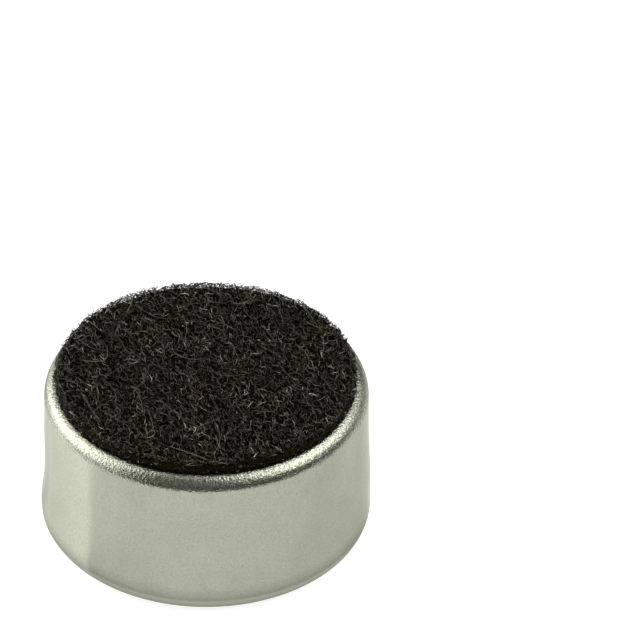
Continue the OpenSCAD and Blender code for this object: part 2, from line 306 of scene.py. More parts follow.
canLook = {
    "bright": (0.349, 0.362, 0.296), "dull": (0.326, 0.338, 0.274), "speck": (0.14, 0.14, 0.11),
    "glancing": (0.61, 0.612, 0.582),
    # painted reflection: the foot below the painted dark band takes its own tone, set for how bright it
    # mirrors the table
    "paintedFootTone": (0.303, 0.315, 0.256), "paintedFootSpan": (0.475, 0.395),
    "paintedShadeTone": (0.02, 0.02, 0.012),  # painted shade, the wall's mirrored contact shadow along the foot: at these heights in mm and so much
    "paintedShadeBand": (
        (0.0, 0.0), (0.425, 0.0), (0.485, 0.30), (0.545, 0.30), (0.645, 0.18), (0.80, 0.08), (0.95, 0.0),
    ),
    "bendSpan": (-0.01, 0.11), "rimSpan": (0.62, 0.40),  # the first from where the shoulder starts
    "wallRough": 0.20, "bendRough": 0.22, "roughShift": (-0.02, 0.03),
    # clouds: how many in a mm, detail, roughness
    "patches": (0.9, 4, 0.6), "drawn": (6.0, 4, 0.6), "pits": (9.0, 2, 0.5), "frost": (17.0, 2, 0.6),
    "uneven": (3.0, 3), "grain": (14.5, 2, 0.55), "skin": (14.0, 3, 0.6), "rings": (26.0, 2.0),
    "drawnStretch": (1, 1, 0.06),
    # from which to which value of the cloud, and how much
    "drawnShare": (0.35, 0.8, 0.0, 0.3), "pitShare": (0.70, 0.76), "pitMost": 0.45,
    "frostShare": (0.44, 0.62, 0.0, 0.55), "dustShare": (0.3, 0.75, 0.0, 0.24),
    "skinDepth": 0.0012, "drawnDepth": 0.0010, "grainDepth": 0.020, "ringDepth": 0.004,
}


def canOutline():
    f, n = canForm, canForm["steps"]
    radius, sheet, crimp, lipBend = f["radius"], f["sheet"], f["crimp"], f["lipBend"]
    reach = crimp + lipBend
    turn = math.degrees(math.acos(1 - (f["recess"] - sheet) / reach))
    bend = (radius + f["swell"] - crimp, crimp)
    rise = (bend[0] - f["crest"], bend[1])
    lip = (rise[0] - reach * math.sin(math.radians(turn)), rise[1] - reach * math.cos(math.radians(turn)))
    shoulder = (radius - f["shoulder"], f["height"] - f["shoulder"])
    wallLow = crimp + f["swellHeight"]
    wall = [(radius, z) for z in np.linspace(shoulder[1], wallLow, n["wall"])[1:]]
    down = np.linspace(0, 1, n["flare"])[1:-1]
    flare = [(radius + f["swell"] * (3 * t * t - 2 * t ** 3), wallLow - f["swellHeight"] * t) for t in down]
    outside = arc(shoulder, f["shoulder"], 90, 0, n["shoulder"]) + wall + flare
    outside += arc(bend, crimp, 0, -90, n["crimp"])
    outside += arc(rise, crimp, -90, -90 - turn, n["rise"])
    outside += arc(lip, lipBend, 90 - turn, 90, n["lip"], 1)
    edge = arc((lip[0] - f["lipFlat"], f["recess"] - sheet / 2), sheet / 2, -90, -270, n["edge"])
    inside = arc(lip, lipBend + sheet, 90, 90 - turn, n["lip"])
    inside += arc(rise, crimp - sheet, -90 - turn, -90, n["lip"], 1)
    inside += arc(bend, crimp - sheet, -90, 0, n["inside"]) + [(radius - sheet, wallLow)]
    inside += arc(shoulder, f["shoulder"] - sheet, 0, 90, n["inside"])
    return outside + edge + inside


def canFinish():
    look = canLook
    finish, tree, surface = startFinish("satinAluminium")
    plain = place(tree)
    radius, z = axisDistance(tree)
    start = canForm["height"] - canForm["shoulder"]
    bends = eased(tree, z, [start + d for d in look["bendSpan"]])  # the shoulder, roughened by drawing
    rim = eased(tree, z, look["rimSpan"])
    drawn = cloud(tree, place(tree, look["drawnStretch"]), *look["drawn"])  # faint lines along the wall
    patches = ranged(tree, cloud(tree, plain, *look["patches"]), *middleTones)
    tone = blendTones(tree, patches, look["dull"], look["bright"])
    tone = blendTones(tree, ranged(tree, drawn, *look["drawnShare"]), tone, look["dull"])
    pits = ranged(tree, cloud(tree, plain, *look["pits"]), *look["pitShare"])
    tone = blendTones(tree, times(tree, pits, look["pitMost"]), tone, look["speck"])
    specks = cloud(tree, plain, *look["frost"])
    frost = times(tree, ranged(tree, specks, *look["frostShare"]), bends)
    tone = blendTones(tree, frost, tone, look["speck"])
    tone = blendTones(tree, ranged(tree, specks, *look["dustShare"]), tone, look["speck"])
    # painted shade: a darker band near the foot, where the wall mirrors the table's contact shadow
    height = ranged(tree, z, 0, 1 * mm, smooth=False)
    paintedShade = tones(tree, height, [(at, (v, v, v)) for at, v in look["paintedShadeBand"]])
    tone = blendTones(tree, paintedShade, tone, look["paintedShadeTone"])
    # painted reflection: the foot below the dark band takes a tone set for how it mirrors the table
    tone = blendTones(tree, eased(tree, z, look["paintedFootSpan"]), tone, look["paintedFootTone"])
    tree.links.new(tone, surface.inputs["Base Color"])
    surface.inputs["Metallic"].default_value = 1.0
    surface.inputs["Specular Tint"].default_value = (*look["glancing"], 1)
    rough = plus(tree, look["wallRough"], times(tree, bends, look["bendRough"] - look["wallRough"]))
    uneven = cloud(tree, plain, *look["uneven"])
    rough = plus(tree, rough, ranged(tree, uneven, *middleTones, *look["roughShift"], False))
    tree.links.new(rough, surface.inputs["Roughness"])
    lathe = tree.nodes.new("ShaderNodeTexNoise")  # rings left by the crimping tool
    lathe.noise_dimensions = "1D"
    lathe.inputs["Scale"].default_value = look["rings"][0] / mm
    lathe.inputs["Detail"].default_value = look["rings"][1]
    tree.links.new(radius, lathe.inputs["W"])
    normal = relief(tree, cloud(tree, plain, *look["skin"]), look["skinDepth"])
    normal = relief(tree, drawn, look["drawnDepth"], normal)
    grain = times(tree, cloud(tree, plain, *look["grain"]), bends)
    normal = relief(tree, grain, look["grainDepth"], normal)
    normal = relief(tree, times(tree, lathe.outputs["Fac"], rim), look["ringDepth"], normal)
    tree.links.new(normal, surface.inputs["Normal"])
    return finish


def bulges(z, rises):  # soft rises, each of its own width above and below its height
    total = 0.0
    for far, at, above, below in rises:
        total = total + far * np.exp(-((z - at) / np.where(z > at, above, below)) ** 2)
    return total


def unevenSwell(points):  # the wall went further out on the -X side
    f = canForm
    z = points[:, 2]
    r = np.hypot(points[:, 0], points[:, 1])
    safe = np.maximum(r, 1e-6)
    left = np.clip(-points[:, 0] / safe, 0, 1) ** f["leftness"]
    push = left * bulges(z, f["bulgeLeft"]) + (1 - left) * bulges(z, f["bulgeRest"])
    push = push * np.clip(z / f["firmRim"], 0, 1) * (r > f["wallFrom"])
    points[:, :2] *= (1 + push / safe)[:, None]
    return points


def makeCan():
    f = canForm
    body, quads = turned(canOutline(), f["segments"])
    edge = ringPoints(0, 0, f["radius"] - f["shoulder"], f["segments"])
    middles = [(0.0, 0.0)] + ringPoints(0, 0, f["inletRing"], f["inlets"])
    rings = [ringPoints(x, y, f["inlet"], f["inletSteps"]) for x, y in middles]
    flat, triangles = holedFace(edge, rings)
    outer, inner = f["height"], f["height"] - f["sheet"]
    points = [tuple(p) for p in body]
    faces = [tuple(q) for q in quads]
    top = len(points)
    points += [(x, y, outer) for x, y in flat]
    low = len(points)
    points += [(x, y, inner) for x, y in flat]
    faces += [tuple(top + i for i in t) for t in triangles]
    faces += [tuple(low + i for i in reversed(t)) for t in triangles]
    for ring in rings:  # walls of the sound inlets
        first = len(points)
        points += [(x, y, outer) for x, y in ring] + [(x, y, inner) for x, y in ring]
        n = len(ring)
        faces += [(first + i, first + n + i, first + n + (i + 1) % n, first + (i + 1) % n) for i in range(n)]
    points = unevenSwell(np.array(points))
    can = newPiece("canShell", points * mm, faces, canFinish())
    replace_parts(can, "can")


makeCan()
print("can turned")


# the felt: a dark mat with loose fibres curling through its top and standing out of its edge, in mm
feltReach, feltLow, feltTop = nodeSize("dust_felt")
feltForm = {
    "radius": feltReach, "low": feltLow, "top": feltTop,
    "shift": (-0.015, 0.05, 0.0),  # of the fibres, as they were stuck on a little off the middle
    "outOfRound": ((95.0, 22.0, -0.055), (135.0, 25.0, 0.045), (40.0, 22.0, 0.045)),  # middle, width, mm
    "combed": (0.50, -46.0, 19.0),  # share of the fibres that lie one way, its direction and spread
    "stretch": 1.6, "curlAxis": (0.8, 0.8, 1.0), "tip": 0.35, "thickness": (0.7, 1.25),
    "scatter": 0.06, "trim": 0.02, "ragged": (-0.06, 0.05),
    "wave": 0.02, "waveX": (5.1, 1.3), "waveY": (4.3, 0.4), "dive": 0.055, "diveSoft": 0.07,
    "patchy": 0.85, "patchSize": 0.60, "palePlane": 3.7,
    "brown": 0.30, "brownRed": 0.2, "brownPlane": 8.2, "brownLeast": -0.1,
}
# loose fibres, from the deepest up: height is from the felt's top; tone and glint are painted shade, the
# deeper layers painted darker and less glossy for the shade in the pile
fibreLayers = (
    {
        "name": "feltFibresLow", "count": 5200, "seed": 11, "steps": 6, "height": (-0.155, -0.095),
        "length": (0.20, 0.5), "curl": 7.0, "shake": 0.22, "rise": 0.55,
        "thick": 0.0120, "tone": 0.06, "spread": 1.32, "glint": 0.01, "glintBlue": 0.45,
    },
    {
        "name": "feltFibresMid", "count": 5200, "seed": 23, "steps": 6, "height": (-0.115, -0.055),
        "length": (0.12, 0.36), "curl": 7.0, "shake": 0.22, "rise": 0.55,
        "thick": 0.0105, "tone": 0.32, "spread": 1.32, "glint": 0.03, "glintBlue": 0.45,
    },
    {
        "name": "feltFibresTop", "count": 6600, "seed": 37, "steps": 6, "height": (-0.075, -0.015),
        "length": (0.07, 0.36), "curl": 3.6, "shake": 0.15, "rise": 0.55,
        "thick": 0.0074, "tone": 2.95, "spread": 1.32, "glint": 0.6, "glintBlue": 0.85,
    },
    {
        "name": "feltHairs", "count": 75, "seed": 71, "steps": 10, "height": (0.0, 0.035),
        "length": (0.6, 1.8), "curl": 0.9, "shake": 0.05, "rise": 0.05,
        "thick": 0.0080, "tone": 7.5, "spread": 0.45, "glint": 0.6, "glintBlue": 0.85,
    },
)
# short loops along the cut edge
edgeFuzz = {
    "name": "feltEdgeFuzz", "count": 4500, "seed": 53, "steps": 7, "thick": 0.0105, "thickness": (0.7, 1.2),
    "tone": 0.9, "spread": 1.32, "glint": 0.12, "glintBlue": 0.85,
    "paintedLift": 0.5, "paintedLiftFrom": 0.08, "paintedLiftOver": 0.12,  # painted light: the lower loops on the cut side are painted paler than the pile's tips, against the shade under the felt's top
    "sink": 0.03, "standFrom": 0.15, "standOver": 0.12,  # loops near the top edge also stand up
    "out": 0.045, "up": 0.034, "inset": 0.06, "scatter": (-0.09, 0.035), "drawIn": 0.12,
    "slide": 0.08, "slope": 0.07, "shakeAround": 0.014, "shakeUp": 0.010, "below": 0.045, "above": 0.07,
}
fibreLook = {
    "grey": 0.0101, "least": 0.0006, "most": 0.55,
    "paintedGlintShare": 0.006, "paintedGlintTimes": 4, "paintedGlintMost": 0.75,  # painted glints: a few fibres are painted brighter, as if they catch the light
    "darkBelow": 0.035,  # the darkest are olive, the pale ones grey
    "red": (1.02, 0.03), "blue": (0.87, 0.77), "blueSpread": 0.06,
    "mottle": (30.0, 2), "mottleShare": (0.25, 0.75, 0.2, 1.8), "rough": 0.32, "glintGreen": 0.98,
}
matForm = {
    "radius": round(feltReach - 0.07, 3), "top": round(feltTop - 0.13, 3), "bend": 0.06,
    "segments": 220, "rows": 60, "bendSteps": 6, "sideSteps": 6, "underSteps": 12,
    "lumps": ((4.2, 1.0), (9.0, 0.6)), "lumpUp": 0.022, "lumpOut": 0.006, "lumpEdge": 8, "still": 0.01,
    "tangle": (9.0, 5, 0.7), "tangleDepth": 0.05, "rough": 0.95, "glint": 0.01,
    # the felt's own dark colour, painted darker still as the shade in the gaps between the fibres
    "tones": (
        (0.35, (0.0010, 0.0010, 0.0002)), (0.6, (0.0022, 0.0022, 0.0005)), (0.8, (0.005, 0.005, 0.002)),
    ),
    "side": (0.0135, 0.0105, 0.0036), "sideSpan": (-0.08, -0.03),
}


def fibreFinish(fibres):
    look = fibreLook
    finish, tree, surface = startFinish(fibres["name"] + "Finish")
    shade = tree.nodes.new("ShaderNodeAttribute")
    shade.attribute_name = "shade"
    mottle = ranged(tree, cloud(tree, place(tree), *look["mottle"]), *look["mottleShare"], False)
    tint = tree.nodes.new("ShaderNodeVectorMath")
    tint.operation = "SCALE"
    tree.links.new(shade.outputs["Color"], tint.inputs[0])
    tree.links.new(mottle, tint.inputs["Scale"])
    tree.links.new(tint.outputs["Vector"], surface.inputs["Base Color"])
    surface.inputs["Roughness"].default_value = look["rough"]
    surface.inputs["Specular IOR Level"].default_value = fibres["glint"]
    surface.inputs["Specular Tint"].default_value = (1.0, look["glintGreen"], fibres["glintBlue"], 1)
    return finish


def matFinish():
    m = matForm
    finish, tree, surface = startFinish("feltMat")
    tangle = cloud(tree, place(tree), *m["tangle"])
    radius, _ = axisDistance(tree)
    side = eased(tree, radius, [m["radius"] + d for d in m["sideSpan"]])
    tone = blendTones(tree, side, tones(tree, tangle, m["tones"]), m["side"])
    tree.links.new(tone, surface.inputs["Base Color"])
    surface.inputs["Roughness"].default_value = m["rough"]
    surface.inputs["Specular IOR Level"].default_value = m["glint"]
    tree.links.new(relief(tree, tangle, m["tangleDepth"]), surface.inputs["Normal"])
    return finish


def feltOutline(points):  # the cut disc is not quite round
    angle = np.degrees(np.arctan2(points[:, 1], points[:, 0]))
    stray = np.zeros(len(points))
    for middle, width, amount in feltForm["outOfRound"]:
        stray += amount * np.exp(-((angle - middle) / width) ** 2)
    outer = (np.hypot(points[:, 0], points[:, 1]) / feltForm["radius"]) ** 6
    points[:, :2] *= (1 + stray * outer / feltForm["radius"])[:, None]
    return points


def fibreTubes(paths, thick, shades, fibres):  # three-sided tubes; paths: fibres x points x 3, in mm
    count, steps, _ = paths.shape
    along = np.gradient(paths, axis=1)
    along /= np.linalg.norm(along, axis=2, keepdims=True) + 1e-12
    side = np.cross(along, np.array([0.0, 0.0, 1.0]))
    side /= np.linalg.norm(side, axis=2, keepdims=True) + 1e-9
    over = np.cross(side, along)
    taper = np.ones(steps)
    taper[0] = taper[-1] = feltForm["tip"]
    width = (thick[:, None] * taper)[:, :, None]
    corners = [paths + width * (math.cos(a) * side + math.sin(a) * over) for a in np.radians((90, 210, 330))]
    points = feltOutline(np.stack(corners, 2).reshape(-1, 3)) + np.array(feltForm["shift"])
    base = (np.arange(count)[:, None] * steps + np.arange(steps - 1)[None, :]).ravel() * 3
    quads = []
    for k in range(3):
        after = (k + 1) % 3
        quads.append(np.stack([base + k, base + after, base + 3 + after, base + 3 + k], -1))
    piece = newPiece(fibres["name"], points * mm, np.concatenate(quads), fibreFinish(fibres))
    colours = np.ones((count, steps * 3, 4), np.float32)
    colours[:, :, :3] = shades[:, None, :]
    shade = piece.data.color_attributes.new("shade", "FLOAT_COLOR", "POINT")
    shade.data.foreach_set("color", colours.ravel())


def fibreShades(rng, fibres):
    look, count = fibreLook, fibres["count"]
    # a layer's tone carries painted shade: the deeper layers are painted darker
    grey = np.exp(rng.normal(math.log(look["grey"] * fibres["tone"]), fibres["spread"], count))
    grey = grey.clip(look["least"], look["most"])
    # painted glints: a few fibres are painted brighter
    lit = rng.random(count) < look["paintedGlintShare"]
    grey = np.where(lit, grey * look["paintedGlintTimes"], grey).clip(look["least"], look["paintedGlintMost"])
    dark = np.exp(-grey / look["darkBelow"])
    red = look["red"][0] + look["red"][1] * dark
    blue = (look["blue"][0] - look["blue"][1] * dark) * np.exp(rng.normal(0, look["blueSpread"], count))
    return np.stack([grey * red, grey, grey * blue], -1)


def wander(rng, fibres):  # paths that curl through the mass as they go
    count, steps = fibres["count"], fibres["steps"]
    length = rng.uniform(*fibres["length"], count)
    step = (length / (steps - 1))[:, None]
    around = rng.uniform(0, 2 * np.pi, count)
    share, direction, spread = feltForm["combed"]
    combed = rng.random(count) < share
    around = np.where(combed, np.radians(rng.normal(direction, spread, count)), around)
    rise = rng.normal(0, fibres["rise"], count)
    ahead, aside = np.cos(around) * np.cos(rise), np.sin(around) * np.cos(rise)
    heading = np.stack([ahead, feltForm["stretch"] * aside, np.sin(rise)], -1)
    heading /= np.linalg.norm(heading, axis=1, keepdims=True)
    axis = rng.normal(0, 1, (count, 3)) * feltForm["curlAxis"]
    axis *= (rng.normal(0, fibres["curl"], count) / np.linalg.norm(axis, axis=1))[:, None]
    points = [np.zeros((count, 3))]
    for _ in range(steps - 1):
        heading = heading + np.cross(axis, heading) * step + rng.normal(0, fibres["shake"], (count, 3))
        heading /= np.linalg.norm(heading, axis=1, keepdims=True)
        points.append(points[-1] + heading * step)
    path = np.stack(points, 1)
    return path - path.mean(axis=1, keepdims=True)


def patches(middles, plane):  # a soft pattern over the felt
    grain = 1 / feltForm["patchSize"]
    return np.array([noise.noise(Vector((x * grain, y * grain, plane))) for x, y in middles])


def layFibres(fibres):
    f, count = feltForm, fibres["count"]
    rng = np.random.default_rng(fibres["seed"])
    paths = wander(rng, fibres)
    order = np.arange(count) + 0.5  # spread evenly over the disc, then shaken
    r = f["radius"] * np.sqrt(order / count)
    a = order * math.pi * (3 - math.sqrt(5))
    middles = np.stack([r * np.cos(a), r * np.sin(a)], -1) + rng.normal(0, f["scatter"], (count, 2))
    paths[..., :2] += middles[:, None]
    reach = np.hypot(paths[..., 0], paths[..., 1])
    limit = f["radius"] - f["trim"] + rng.uniform(*f["ragged"], (count, 1))
    paths[..., :2] *= np.minimum(1, limit / (reach + 1e-9))[..., None]
    (perX, fromX), (perY, fromY) = f["waveX"], f["waveY"]
    waves = f["wave"] * np.sin(paths[..., 0] * perX + fromX) * np.sin(paths[..., 1] * perY + fromY)
    low, high = (f["top"] + h for h in fibres["height"])
    height = rng.uniform(low, high, (count, 1)) + waves
    paths[..., 2] = height + f["dive"] * np.tanh(paths[..., 2] / f["diveSoft"])
    thick = fibres["thick"] * rng.uniform(*f["thickness"], count)
    shades = fibreShades(rng, fibres)
    brown = f["brown"] * np.maximum(patches(middles, f["brownPlane"]), f["brownLeast"])
    shades *= np.exp(f["patchy"] * patches(middles, f["palePlane"]))[:, None]
    shades[:, 0] *= np.exp(f["brownRed"] * brown)
    shades[:, 2] *= np.exp(-brown)
    fibreTubes(paths, thick, shades, fibres)


def fringeFibres():  # they leave the cut edge and turn back into it
    e, f = edgeFuzz, feltForm
    rng = np.random.default_rng(e["seed"])
    low, top = f["low"], f["top"]
    each = (e["count"], 1)
    everyPoint = (e["count"], e["steps"])
    a = rng.uniform(0, 2 * np.pi, e["count"])[:, None]
    t = np.linspace(0, 1, e["steps"])[None, :]
    arch = np.sin(np.pi * t)
    z = rng.uniform(low - e["sink"], top - e["sink"], each)
    high = np.clip((z - top + e["standFrom"]) / e["standOver"], 0, 1)
    out = arch * np.abs(rng.normal(0.0, e["out"], each))
    up = arch * high * np.abs(rng.normal(0.0, e["up"], each))
    r = f["radius"] - e["inset"] + rng.uniform(*e["scatter"], each) + out
    r = r - e["drawIn"] * high * rng.uniform(0, 1, each)
    slide = rng.normal(0, e["slide"], each) * (t - 0.5) + rng.normal(0, e["shakeAround"], everyPoint)
    angle = a + slide / f["radius"]
    z = z + up + rng.normal(0, e["slope"], each) * (t - 0.5) + rng.normal(0, e["shakeUp"], everyPoint)
    z = np.clip(z, low - e["below"], top + e["above"])
    paths = np.stack([r * np.cos(angle), r * np.sin(angle), z], -1)
    thick = e["thick"] * rng.uniform(*e["thickness"], e["count"])
    # painted light: the lower loops are painted paler, against the shade they sit in
    lower = np.clip((top - e["paintedLiftFrom"] - z.mean(axis=1)) / e["paintedLiftOver"], 0, 1)[:, None]
    shades = fibreShades(rng, e) * (1 + e["paintedLift"] * lower)
    fibreTubes(paths, thick, shades, e)


def feltMat():
    m, low = matForm, feltForm["low"]
    shoulder = (m["radius"] - m["bend"], m["top"] - m["bend"])
    profile = [(r, m["top"]) for r in np.linspace(0.0, shoulder[0], m["rows"])]
    profile += arc(shoulder, m["bend"], 90, 0, m["bendSteps"], 1)
    profile += [(m["radius"], z) for z in np.linspace(shoulder[1], low, m["sideSteps"])[1:]]
    profile += [(r, low) for r in np.linspace(m["radius"], 0.0, m["underSteps"])[1:]]
    points, quads = turned(profile, m["segments"])
    for p in points:  # lumps of the felted mass
        if p[2] > low + m["still"]:
            lump = sum(share * noise.noise(Vector(p * finer)) for finer, share in m["lumps"])
            p[2] += m["lumpUp"] * lump
            p[:2] *= 1 + m["lumpOut"] * lump * (np.hypot(p[0], p[1]) / m["radius"]) ** m["lumpEdge"]
    return newPiece("feltMat", feltOutline(np.array(points)) * mm, quads[:, ::-1], matFinish())


def makeFelt():
    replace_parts(feltMat(), "dust_felt")
    for fibres in fibreLayers:
        layFibres(fibres)
    fringeFibres()


makeFelt()
print("felt laid")


# the board, turned to the ground terminal's direction, in mm
boardReach, boardLow, boardHigh = nodeSize("circuit_board")
boardForm = {
    "radius": boardReach, "out": boardLow, "inner": boardHigh, "turn": 150.0,
    "vent": 0.425, "vents": 6, "ventRing": 2.825, "ventFrom": 30.0,
    "via": 0.2, "viaAt": 1.7, "viaTurns": (40, 220),
    # the vents' mouths: how much wider, how deep, and how pale from the punching
    "mouth": ((0.05, 0.0, 1.0), (0.012, 0.035, 0.9), (0.0, 0.06, 0.5)), "inside": 0.1,
    "paleRings": (0.02, 0.05, 0.1, 0.18), "paleFade": 0.045,
    "edgeSteps": 200, "ventSteps": 48, "viaSteps": 24,
}
boardLook = {
    "tones": ((0.3, (0.255, 0.136, 0.010)), (0.55, (0.32, 0.174, 0.014)), (0.75, (0.38, 0.212, 0.021))),
    "fleck": (0.21, 0.112, 0.010), "pale": (0.50, 0.33, 0.085),
    "pulp": (5.0, 5, 0.65), "flecks": (16.0, 3, 0.6), "fleckStretch": (1, 0.25, 1),
    "fleckShare": (0.55, 0.75, 0.0, 0.3), "rough": (0.34, 0.5), "pulpDepth": 0.006, "fleckDepth": 0.002,
}


def boardFinish():
    look = boardLook
    finish, tree, surface = startFinish("phenolicPaper")
    halo = tree.nodes.new("ShaderNodeAttribute")
    halo.attribute_name = "halo"
    pulp = cloud(tree, place(tree), *look["pulp"])
    flecks = cloud(tree, place(tree, look["fleckStretch"]), *look["flecks"])
    tone = tones(tree, pulp, look["tones"])
    tone = blendTones(tree, ranged(tree, flecks, *look["fleckShare"]), tone, look["fleck"])
    tone = blendTones(tree, halo.outputs["Fac"], tone, look["pale"])
    tree.links.new(tone, surface.inputs["Base Color"])
    tree.links.new(ranged(tree, pulp, *middleTones, *look["rough"], False), surface.inputs["Roughness"])
    normal = relief(tree, pulp, look["pulpDepth"])
    tree.links.new(relief(tree, flecks, look["fleckDepth"], normal), surface.inputs["Normal"])
    return finish


def makeBoard():
    f = boardForm
    out, inner = f["out"], f["inner"]
    mouth = f["vent"] + f["mouth"][0][0]
    ventTurns = [f["ventFrom"] + k * 360 / f["vents"] for k in range(f["vents"])]
    ventMiddles = [polar(f["ventRing"], f["turn"] + turn) for turn in ventTurns]
    viaMiddles = [polar(f["viaAt"], f["turn"] + turn) for turn in f["viaTurns"]]
    edge = ringPoints(0, 0, f["radius"], f["edgeSteps"])
    viaRings = [ringPoints(x, y, f["via"], f["viaSteps"]) for x, y in viaMiddles]
    points, faces, halo = [], [], []

    def ventRings(r):
        return [ringPoints(x, y, r, f["ventSteps"]) for x, y in ventMiddles]

    def addFace(ventR, z, down, spare):
        flat, triangles = holedFace(edge, ventRings(ventR) + viaRings, spare)
        first = len(points)
        for x, y in flat:
            near = min(math.hypot(x - vx, y - vy) for vx, vy in ventMiddles) - mouth
            points.append((x, y, z))
            halo.append(math.exp(-max(near, 0) / f["paleFade"]) if down else 0.0)
        faces.extend(tuple(first + i for i in (reversed(t) if down else t)) for t in triangles)

    def addTube(profile, x, y, count):  # profile: radius, height and how pale
        first = len(points)
        for r, z, pale in profile:
            points.extend((px, py, z) for px, py in ringPoints(x, y, r, count))
            halo.extend([pale] * count)
        for row in range(len(profile) - 1):
            low = first + row * count
            for i in range(count):
                j = (i + 1) % count
                faces.append((low + i, low + j, low + count + j, low + count + i))

    loose = [p for wider in f["paleRings"] for ring in ventRings(mouth + wider) for p in ring]
    addFace(mouth, out, True, loose)
    addFace(f["vent"], inner, False, ())
    ventWall = [(f["vent"] + wider, out + deep, pale) for wider, deep, pale in f["mouth"]]
    ventWall.append((f["vent"], inner, f["inside"]))
    for x, y in ventMiddles:
        addTube(ventWall, x, y, f["ventSteps"])
    for x, y in viaMiddles:
        addTube([(f["via"], out, 0.0), (f["via"], inner, 0.0)], x, y, f["viaSteps"])
    addTube([(f["radius"], inner, 0.0), (f["radius"], out, 0.0)], 0, 0, f["edgeSteps"])
    board = newPiece("boardDisc", np.array(points) * mm, faces, boardFinish(), smooth=False)
    board.data.attributes.new("halo", "FLOAT", "POINT").data.foreach_set("value", np.array(halo, np.float32))
    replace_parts(board, "circuit_board")


makeBoard()
print("board cut")


# solder: two crowned half-moons with the lumps and dimples of hand-filled pads, in mm
solderForm = {
    "radius": 2.11, "slotEdge": 0.39, "crown": 0.475, "seat": nodeSize("ground_solder")[2], "soft": 0.035,
    "middle": (1.18, 0.0), "rings": 46, "spokes": 180, "crowding": 0.85, "halvings": 40, "furthest": 3.0,
    "lump": 0.016, "lumpFade": 0.10, "perMm": 2.1, "seedLift": 0.7,
    "lumps": ((1.0, 1.0), (2.7, 0.5), (6.1, 0.25)),
    "halves": (
        ("groundSolderCrown", "ground_solder", 0, 3.1), ("outputSolderCrown", "output_solder", 180, 8.4),
    ),
}
solderLook = {
    "dull": (0.50, 0.50, 0.47), "bright": (0.80, 0.80, 0.76), "brightShare": (0.35, 0.7),
    "grains": 7.0, "frost": (12.0, 4, 0.65), "rough": (0.12, 0.30), "grainDepth": 0.009, "frostDepth": 0.008,
}


def solderFinish():
    look = solderLook
    finish, tree, surface = startFinish("brightSolder")
    plain = place(tree)
    frost = cloud(tree, plain, *look["frost"])
    tone = blendTones(tree, ranged(tree, frost, *look["brightShare"]), look["dull"], look["bright"])
    tree.links.new(tone, surface.inputs["Base Color"])
    surface.inputs["Metallic"].default_value = 1.0
    tree.links.new(ranged(tree, frost, *middleTones, *look["rough"], False), surface.inputs["Roughness"])
    normal = relief(tree, cells(tree, plain, look["grains"]), look["grainDepth"])
    tree.links.new(relief(tree, frost, look["frostDepth"], normal), surface.inputs["Normal"])
    return finish


def crownHeight(x, y):  # a round crown and one across the half-moon, the lower of the two
    f = solderForm
    half = f["radius"] - f["slotEdge"]
    ball = 1 - (x * x + y * y) / f["radius"] ** 2
    roll = 1 - ((x - f["radius"]) / half) ** 2
    gap = ball - roll
    return f["crown"] * 0.5 * (ball + roll - math.sqrt(gap * gap + f["soft"] ** 2))


def makeSolder(name, node, turn, seed, finish):
    f = solderForm
    rings, spokes = f["rings"], f["spokes"]
    midX, midY = f["middle"]
    cosTurn, sinTurn = polar(1.0, turn)
    points, faces = [], []

    def addPoint(x, y, h):
        points.append((x * cosTurn - y * sinTurn, x * sinTurn + y * cosTurn, f["seat"] - h))

    for k in range(spokes):
        a = 2 * math.pi * k / spokes
        low, high = 0.0, f["furthest"]
        for _ in range(f["halvings"]):  # where this spoke meets the edge of the crown
            r = (low + high) / 2
            inside = crownHeight(midX + r * math.cos(a), midY + r * math.sin(a)) > 0
            low, high = (r, high) if inside else (low, r)
        for i in range(1, rings + 1):
            s = (i / rings) ** f["crowding"]
            x, y = midX + s * low * math.cos(a), midY + s * low * math.sin(a)
            h = max(crownHeight(x, y), 0.0)
            at = Vector((x * f["perMm"] + seed, y * f["perMm"], seed * f["seedLift"]))
            lump = sum(share * noise.noise(at * finer) for finer, share in f["lumps"])
            addPoint(x, y, max(h + f["lump"] * lump * min(1.0, h / f["lumpFade"]), 0.0))
    top = len(points)
    addPoint(midX, midY, crownHeight(midX, midY))
    for k in range(spokes):
        n = (k + 1) % spokes
        faces.append((top, n * rings, k * rings))
        for i in range(rings - 1):
            faces.append((k * rings + i, n * rings + i, n * rings + i + 1, k * rings + i + 1))
    faces.append(tuple(k * rings + rings - 1 for k in range(spokes)))
    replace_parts(newPiece(name, np.array(points) * mm, faces, finish), node)


solder = solderFinish()
for name, node, turn, seed in solderForm["halves"]:
    makeSolder(name, node, boardForm["turn"] + turn, seed, solder)
print("solder flowed")


